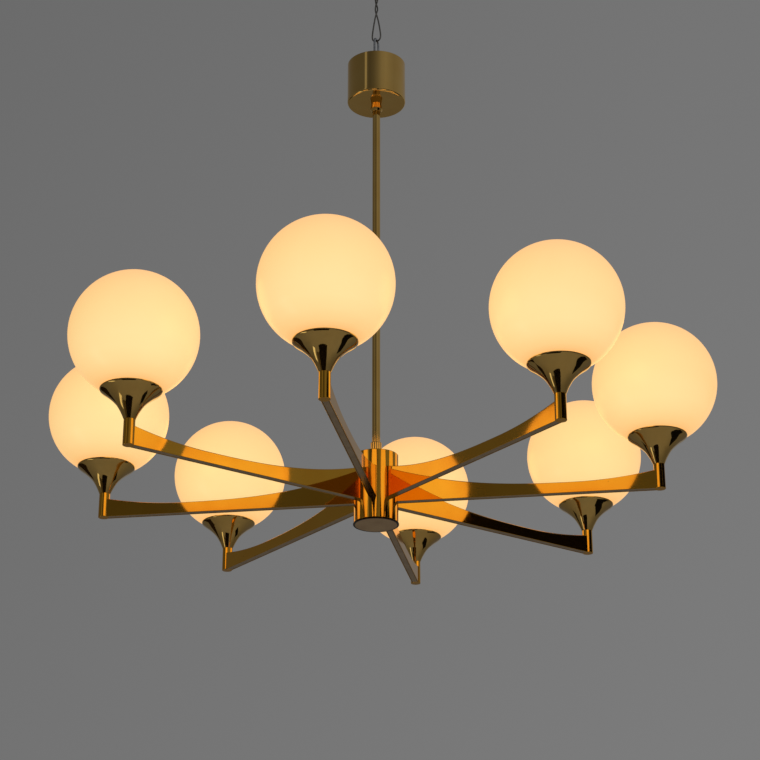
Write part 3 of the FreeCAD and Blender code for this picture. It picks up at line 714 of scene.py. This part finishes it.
arm_stations = 72
half_w = arm_w / 2
joint_sink = 0.0001     # how far a piece reaches into the face that it is brazed to
arm_build = bmesh.new()
arm_sections = []
for i in range(arm_stations + 1):
    share = i / arm_stations
    middle_r = hub_r + (arm_reach - tube_r - hub_r) * share
    top = arm_height(middle_r)
    section = eased([
        (-half_w, 0, 0.0003), (-half_w, top, 0.0007), (half_w, top, 0.0007), (half_w, 0, 0.0003),
        (half_w - arm_wall, 0, 0.0002), (half_w - arm_wall, top - arm_wall, 0),
        (-half_w + arm_wall, top - arm_wall, 0), (-half_w + arm_wall, 0, 0.0002),
    ], closed=True)
    ring_verts = []
    for y, z in section:
        start_r = math.sqrt((hub_r - joint_sink) ** 2 - y ** 2)
        end_r = arm_reach - math.sqrt((tube_r - joint_sink) ** 2 - y ** 2)
        ring_verts.append(arm_build.verts.new((start_r + (end_r - start_r) * share, y, arm_z + z)))
    arm_sections.append(ring_verts)
for low, high in zip(arm_sections, arm_sections[1:]):
    for k in range(len(low)):
        j = (k + 1) % len(low)
        arm_build.faces.new((low[k], low[j], high[j], high[k]))
arm_build.faces.new(arm_sections[0])
arm_build.faces.new(arm_sections[-1])
arms_mesh = round_stem(mesh_from("arm_folded", arm_build), deep_brass)
piece_from(arms_mesh, "arms_folded", None, "fixture", "polished_brass", *numbered("arm"))


# ---- Arm soles ----
# A dull brass strip closes each arm's underside and ends in a round under the arm's tube.
# It was never polished, and a fine dark gap shows along both its edges.
sole_half_w = half_w - arm_wall - 0.0004
sole_low, sole_high = arm_z + 0.0003, arm_z + 0.0014
sole_start = math.sqrt(hub_r ** 2 - sole_half_w ** 2) - joint_sink
sole_outline = [(sole_start, -sole_half_w)]
sole_outline += [(arm_reach + sole_half_w * math.sin(a), -sole_half_w * math.cos(a))
                 for a in (math.pi * k / 20 for k in range(21))]
sole_outline += [(sole_start, sole_half_w)]
sole_build = bmesh.new()
sole_face = sole_build.faces.new([sole_build.verts.new((x, y, sole_low)) for x, y in sole_outline])
raised = bmesh.ops.extrude_face_region(sole_build, geom=[sole_face])["geom"]
for vertex in (v for v in raised if isinstance(v, bmesh.types.BMVert)):
    vertex.co.z = sole_high
soles_mesh = round_stem(mesh_from("sole_strip", sole_build, 25), dull_brass)
piece_from(soles_mesh, "arm_strips", None, "fixture", "dull_brass", *numbered("arm_sole"))


# ---- Arm tubes ----
# A short upright brass tube at each arm's end, closed below and open above for the nipple that holds the cup.
# It is brazed to the arm and polished with it.
tube_top_z = tube_high.z
tube_bore_r, nipple_in_tube = 0.005, 0.012
tube_build = bmesh.new()
spun(tube_build, eased([
    (0, arm_z, 0),
    (tube_r, arm_z, 0.0005),
    (tube_r, tube_top_z, 0.0003),
    (tube_bore_r, tube_top_z, 0.0002),
    (tube_bore_r, tube_top_z - nipple_in_tube, 0),
    (0, tube_top_z - nipple_in_tube, 0),
]), False, 72, Matrix.Translation((arm_reach, 0, 0)))
tubes_mesh = round_stem(mesh_from("tube_upright", tube_build), deep_brass)
piece_from(tubes_mesh, "arm_uprights", None, "fixture", "polished_brass", *numbered("arm_tube"))


# ---- Cups ----
# Each cup is spun from thin brass over a trumpet-shaped former, with its rim turned up to meet the glass.
# Spinning leaves faint rings round it under the polish.
cup_low, cup_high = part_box("cup_1")
cup_h = cup_high.z - cup_low.z
cup_rim_r = (cup_high.x - cup_low.x) / 2
cup_foot_r = tube_r + 0.0001
cup_wall = 0.001
# the cup's outer face from foot to rim: (share of the way out, share of the way up)
cup_shape = ((0.0, 0.0), (0.15, 0.26), (0.35, 0.51), (0.63, 0.727), (0.9, 0.888), (0.975, 0.938),
             (1.0, 0.970), (1.0, 1.0))


def smooth_through(points, steps):
    """A smooth line through the points, with each span divided into steps."""
    places = [Vector(p) for p in points]
    ends = [places[0] * 2 - places[1]] + places + [places[-1] * 2 - places[-2]]
    line = []
    for a, b, c, d in zip(ends, ends[1:], ends[2:], ends[3:]):
        for k in range(steps):
            t = k / steps
            line.append(0.5 * (2 * b + (c - a) * t + (2 * a - 5 * b + 4 * c - d) * t ** 2
                               + (3 * b - a - 3 * c + d) * t ** 3))
    return line + [places[-1]]


cup_flare = cup_rim_r - cup_foot_r
cup_outer = smooth_through([(cup_foot_r + cup_flare * out, cup_h * up) for out, up in cup_shape], 7)
cup_inner = []
for i, point in enumerate(cup_outer):
    along = (cup_outer[min(i + 1, len(cup_outer) - 1)] - cup_outer[max(i - 1, 0)]).normalized()
    cup_inner.append(point + Vector((-along.y, along.x)) * cup_wall)
rim_middle = (cup_outer[-1] + cup_inner[-1]) / 2
rim_turns = [math.pi * k / 6 for k in range(1, 6)]
rim_out = (cup_outer[-1] - rim_middle)
rim_up = Vector((0, cup_wall / 2))
cup_rim = [rim_middle - Vector((0, cup_wall / 4)) + rim_out * math.cos(a) + rim_up * math.sin(a) * 0.5
           for a in rim_turns]
cup_hole_r = 0.005
cup_line = [tuple(p) for p in cup_outer[:-1]] + [tuple(p) for p in cup_rim]
cup_line += [tuple(p) for p in reversed(cup_inner[:-1])] + [(cup_hole_r, cup_inner[0].y), (cup_hole_r, 0.0)]
cup_build = bmesh.new()
spun(cup_build, [(r, z + cup_low.z) for r, z in cup_line], True, 96, Matrix.Translation((arm_reach, 0, 0)))
# Painted shade: the cups take a darker copy of the polished brass, for the darker tone that they show.
cup_brass_shaded_copy = polished_brass_finish("polished brass, darkened for painted shade on the cups", "#DAB56B", "#D5AC60", 0.03, 0.08)
cups_mesh = round_stem(mesh_from("cup_spun", cup_build, 50), cup_brass_shaded_copy)
piece_from(cups_mesh, "cups_spun", None, "fixture", "polished_brass", *numbered("cup"))


# ---- Globes ----
# Mouth-blown triplex opal glass, 150 mm balls with a short straight neck that rests inside the cup.
# The satin glass is milky right through and glows evenly, warmer towards the neck and at its edges.
globe_low, globe_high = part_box("globe_1")
globe_r = (globe_high.y - globe_low.y) / 2
globe_z = globe_high.z - globe_r
glass_t = 0.003
neck_r = 0.0275


def opal_glass_finish():
    """Lit satin opal glass: a glow that changes with height, warmer at the lamp's back and at the edges."""
    opal, tree, shader, place = new_finish("lit satin opal glass")
    shader.inputs["Base Color"].default_value = linear("#BDB3A4")
    shader.inputs["Roughness"].default_value = 0.28
    shader.inputs["IOR"].default_value = 1.5
    parts = add_node(tree, "ShaderNodeSeparateXYZ", links={"Vector": place.outputs["Object"]})
    height = add_node(tree, "ShaderNodeMapRange", {"From Min": globe_low.z, "From Max": globe_high.z},
                      {"Value": parts.outputs["Z"]})
    glow = add_node(tree, "ShaderNodeValToRGB", links={"Fac": height.outputs["Result"]})
    set_stops(glow, [(0.0, linear("#EE8A38")), (0.035, linear("#F4B060")), (0.08, linear("#F7CA80")),
                     (0.14, linear("#F8D58E")), (0.22, linear("#F8DB95")), (0.32, linear("#F8DB95")),
                     (0.55, linear("#F8D68D")), (0.75, linear("#F7CF86")), (1.0, linear("#F4BE7C"))])
    edge = add_node(tree, "ShaderNodeLayerWeight", {"Blend": 0.28})
    cloud = add_node(tree, "ShaderNodeTexNoise", {"Scale": 9, "Detail": 2},
                     {"Vector": place.outputs["Object"]})
    uneven = add_node(tree, "ShaderNodeMapRange", {"To Min": 0.985, "To Max": 1.015},
                      {"Value": cloud.outputs["Fac"]})
    dimmed = add_node(tree, "ShaderNodeMix", data_type="RGBA")
    tree.links.new(edge.outputs["Facing"], dimmed.inputs[0])
    back = add_node(tree, "ShaderNodeMapRange", {"From Min": -0.3, "From Max": 0.34, "To Max": 0.4},
                    {"Value": parts.outputs["Y"]})
    warmer = add_node(tree, "ShaderNodeMix", links={"Factor": back.outputs["Result"]}, data_type="RGBA")
    tree.links.new(glow.outputs["Color"], warmer.inputs[6])
    warmer.inputs[7].default_value = linear("#F6C274")
    tree.links.new(warmer.outputs[2], dimmed.inputs[6])
    dimmed.inputs[7].default_value = linear("#F2B268")
    tree.links.new(dimmed.outputs[2], shader.inputs["Emission Color"])
    tree.links.new(uneven.outputs["Result"], shader.inputs["Emission Strength"])
    return opal


opal_glass = opal_glass_finish()
neck_join = math.sqrt(globe_r ** 2 - neck_r ** 2)
inner_r, neck_inner_r = globe_r - glass_t, neck_r - glass_t
inner_join = math.sqrt(inner_r ** 2 - neck_inner_r ** 2)
neck_foot = globe_low.z - globe_z
outer_turn, inner_turn = math.acos(neck_join / globe_r), math.acos(inner_join / inner_r)
globe_line = [(globe_r * math.sin(a), globe_r * math.cos(a))
              for a in ((math.pi - outer_turn) * k / 56 for k in range(57))]
globe_line += [(neck_r, neck_foot + 0.0006), (neck_r - 0.0006, neck_foot), (neck_inner_r + 0.0006, neck_foot),
               (neck_inner_r, neck_foot + 0.0006)]
globe_line += [(inner_r * math.sin(a), inner_r * math.cos(a))
               for a in ((math.pi - inner_turn) * k / 28 for k in range(28, -1, -1))]
for number in range(1, arm_count + 1):
    globe_build = bmesh.new()
    stand = Matrix.Rotation(2 * math.pi * (number - 1) / arm_count, 4, "Z")
    spun(globe_build, globe_line, False, 96, stand @ Matrix.Translation((arm_reach, 0, globe_z)))
    piece_from(mesh_from("opal_ball_%d" % number, globe_build), "opal_ball_%d" % number, opal_glass,
               "globe_%d" % number, "opal_glass", "globe_%d" % number)


# ---- Globe springs ----
# A ring of satin spring-steel strip on each lamp holder, with three leaves that grip the globe's neck.
# It is pressed from satin-finished strip.
refinish("globe_springs", steel_finish("satin spring steel", "#8F9093", "#ADAEB0", 0.30, 0.42))


# ---- Lamp holders ----
# Moulded cream thermoplastic holders for small screw bulbs, with a coarse outer thread.
# The moulding is slightly glossy, and yellowed by heat near the bulb.
def moulded_plastic_finish(name, light, deep, roughness):
    """Slightly glossy moulded plastic with a faint mottle."""
    plastic, tree, shader, place = new_finish(name)
    shader.inputs["Roughness"].default_value = roughness
    mottle = add_node(tree, "ShaderNodeTexNoise", {"Scale": 180, "Detail": 3},
                      {"Vector": place.outputs["Object"]})
    tint = add_node(tree, "ShaderNodeValToRGB", links={"Fac": mottle.outputs["Fac"]})
    set_stops(tint, [(0.35, linear(light)), (0.7, linear(deep))])
    tree.links.new(tint.outputs["Color"], shader.inputs["Base Color"])
    return plastic


cream_plastic = moulded_plastic_finish("moulded cream thermoplastic", "#EAE4D2", "#DDD2B8", 0.35)
holder_low, holder_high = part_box("lampholders")
holder_foot_z, holder_top_z = holder_low.z, holder_high.z
holder_r, boss_r, socket_r, holder_bore_r = 0.0125, 0.008, 0.0072, 0.005
socket_floor_z = holder_top_z - 0.022
holder_body_z = holder_foot_z + 0.0065
holder_line = [(holder_bore_r, holder_foot_z, 0), (boss_r, holder_foot_z, 0.0004), (boss_r, holder_body_z, 0),
               (holder_r, holder_body_z + 0.001, 0.0006)]
thread_low, thread_pitch = holder_body_z + 0.016, 0.0024
for k in range(7):
    at = thread_low + k * thread_pitch
    holder_line += [(holder_r, at, 0), (holder_r - 0.0009, at + thread_pitch * 0.35, 0),
                    (holder_r, at + thread_pitch * 0.7, 0)]
holder_line += [(holder_r, holder_top_z - 0.001, 0.0003), (holder_r - 0.001, holder_top_z, 0.0003),
                (socket_r, holder_top_z, 0.0004), (socket_r, socket_floor_z, 0),
                (holder_bore_r, socket_floor_z, 0)]
holder_build = bmesh.new()
spun(holder_build, eased(holder_line, closed=True), True, 48, Matrix.Translation((arm_reach, 0, 0)))
holders_mesh = round_stem(mesh_from("holder_moulded", holder_build, 30), cream_plastic)
piece_from(holders_mesh, "holders_moulded", None, "fixture", "lampholder_plastic", "lampholders")


# ---- Bulbs ----
# Small frosted golf-ball lamps, lit, each with a nickel-plated screw cap.
# The etched glass spreads the light over the whole ball.
frosted_glass, frosted_tree, frosted_shader, frosted_place = new_finish("lit frosted glass")
frosted_shader.inputs["Base Color"].default_value = linear("#FFF4E0")
frosted_shader.inputs["Roughness"].default_value = 0.4
frosted_shader.inputs["Emission Strength"].default_value = 1.6
bulb_low, bulb_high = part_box("bulbs")
frosted_parts = add_node(frosted_tree, "ShaderNodeSeparateXYZ",
                         links={"Vector": frosted_place.outputs["Object"]})
frosted_height = add_node(frosted_tree, "ShaderNodeMapRange",
                          {"From Min": holder_top_z, "From Max": bulb_high.z},
                          {"Value": frosted_parts.outputs["Z"]})
frosted_glow = add_node(frosted_tree, "ShaderNodeValToRGB", links={"Fac": frosted_height.outputs["Result"]})
set_stops(frosted_glow, [(0.0, linear("#E8A050")), (0.35, linear("#FFE0A8")), (1.0, linear("#FFEFC8"))])
frosted_tree.links.new(frosted_glow.outputs["Color"], frosted_shader.inputs["Emission Color"])
bulb_r = 0.0225
bulb_centre_z = bulb_high.z - bulb_r
bulb_neck_r = 0.0085
bulb_neck_z = holder_top_z + 0.005
cap_top_z = holder_top_z + 0.003
ball_low_turn = math.radians(180 - 63)
bulb_line = [(bulb_r * math.sin(a), bulb_centre_z + bulb_r * math.cos(a))
             for a in (ball_low_turn * k / 24 for k in range(25))]
bulb_line += [(bulb_neck_r + 0.0022, bulb_neck_z + 0.010), (bulb_neck_r + 0.0004, bulb_neck_z + 0.004),
              (bulb_neck_r, bulb_neck_z), (0.0066, cap_top_z), (0, cap_top_z)]
bulb_build = bmesh.new()
spun(bulb_build, bulb_line, False, 48, Matrix.Translation((arm_reach, 0, 0)))
bulbs_mesh = round_stem(mesh_from("bulb_frosted", bulb_build, 60), frosted_glass)
piece_from(bulbs_mesh, "bulbs_frosted", None, "fixture", "frosted_bulb", "bulbs")
cap_metal_r, cap_low_z, cap_pitch = 0.0068, bulb_low.z, 0.0028
cap_line = [(0, cap_low_z), (0.003, cap_low_z), (0.004, cap_low_z + 0.002)]
for k in range(5):
    at = cap_low_z + 0.0025 + k * cap_pitch
    cap_line += [(cap_metal_r - 0.0007, at), (cap_metal_r, at + cap_pitch * 0.5)]
cap_line += [(cap_metal_r, cap_top_z), (0, cap_top_z)]
nickel_build = bmesh.new()
spun(nickel_build, cap_line, False, 40, Matrix.Translation((arm_reach, 0, 0)))
nickel = steel_finish("nickel-plated brass", "#B9B5A8", "#CFCBBF", 0.18, 0.28)
nickel_mesh = round_stem(mesh_from("cap_nickel", nickel_build, 60), nickel)
piece_from(nickel_mesh, "bulb_caps", None, "fixture", "frosted_bulb", "bulbs")


# ---- Hidden fixings ----
# The stem nut, arm screws, nipples and cone nuts are plain zinc-plated steel.
# They are bought-in parts that draw the stem, the arms and the cups tight from inside.
for name in ("stem_nut", "arm_screws", "cup_fixings"):
    refinish(name, zinc_steel)


# ---- Terminal blocks and leads ----
# Cream moulded blocks join the supply flex to the arms' flexes, in the hub and inside the canopy.
# The flexes have soft gold-brown insulation.
refinish("terminal_blocks", cream_plastic)
refinish("leads", moulded_plastic_finish("gold-brown soft insulation", "#8A6A3A", "#765828", 0.5))
